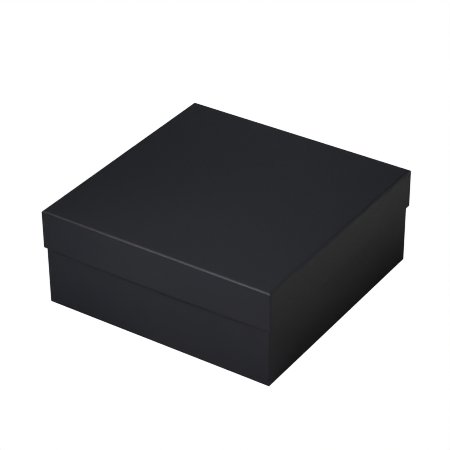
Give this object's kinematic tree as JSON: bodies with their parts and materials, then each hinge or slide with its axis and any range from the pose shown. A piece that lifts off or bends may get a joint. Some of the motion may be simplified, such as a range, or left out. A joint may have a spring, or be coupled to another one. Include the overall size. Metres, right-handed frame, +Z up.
{
  "type": "gift box",
  "caption": "Square two-piece rigid gift box in matte black paper: an open tray and a shallow lid that lifts off, its skirt standing slightly proud of the tray.",
  "frame": {"origin": "centre of the underside, on the surface the box stands on", "axes": "+Z up, the way the lid lifts; -Y the front and +X the right, which look alike on this square box"},
  "size_m": [0.254, 0.254, 0.1028],
  "materials": {
    "greyboard": "solid grey board, bare",
    "corner_tape": "plain kraft paper tape",
    "covering_paper": "matte black, very fine grain, faint sheen",
    "lining_paper": "matte black, uncoated"
  },
  "bodies": {
    "base": {"base_floor_board": "greyboard", "base_front_board": "greyboard", "base_back_board": "greyboard", "base_left_board": "greyboard", "base_right_board": "greyboard", "base_corner_stay_front_left": "corner_tape", "base_corner_stay_front_right": "corner_tape", "base_corner_stay_back_left": "corner_tape", "base_corner_stay_back_right": "corner_tape", "base_wrap": "covering_paper", "base_bottom_sheet": "covering_paper", "base_wall_lining": "lining_paper", "base_floor_lining": "lining_paper"},
    "lid": {"lid_top_board": "greyboard", "lid_front_board": "greyboard", "lid_back_board": "greyboard", "lid_left_board": "greyboard", "lid_right_board": "greyboard", "lid_corner_stay_front_left": "corner_tape", "lid_corner_stay_front_right": "corner_tape", "lid_corner_stay_back_left": "corner_tape", "lid_corner_stay_back_right": "corner_tape", "lid_wrap": "covering_paper", "lid_top_lining": "lining_paper"}
  },
  "joints": [
    {"name": "lid_lift", "type": "slide", "parent": "base", "child": "lid", "axis": [0, 0, 1], "range_m": [0, 0.1]}
  ]
}
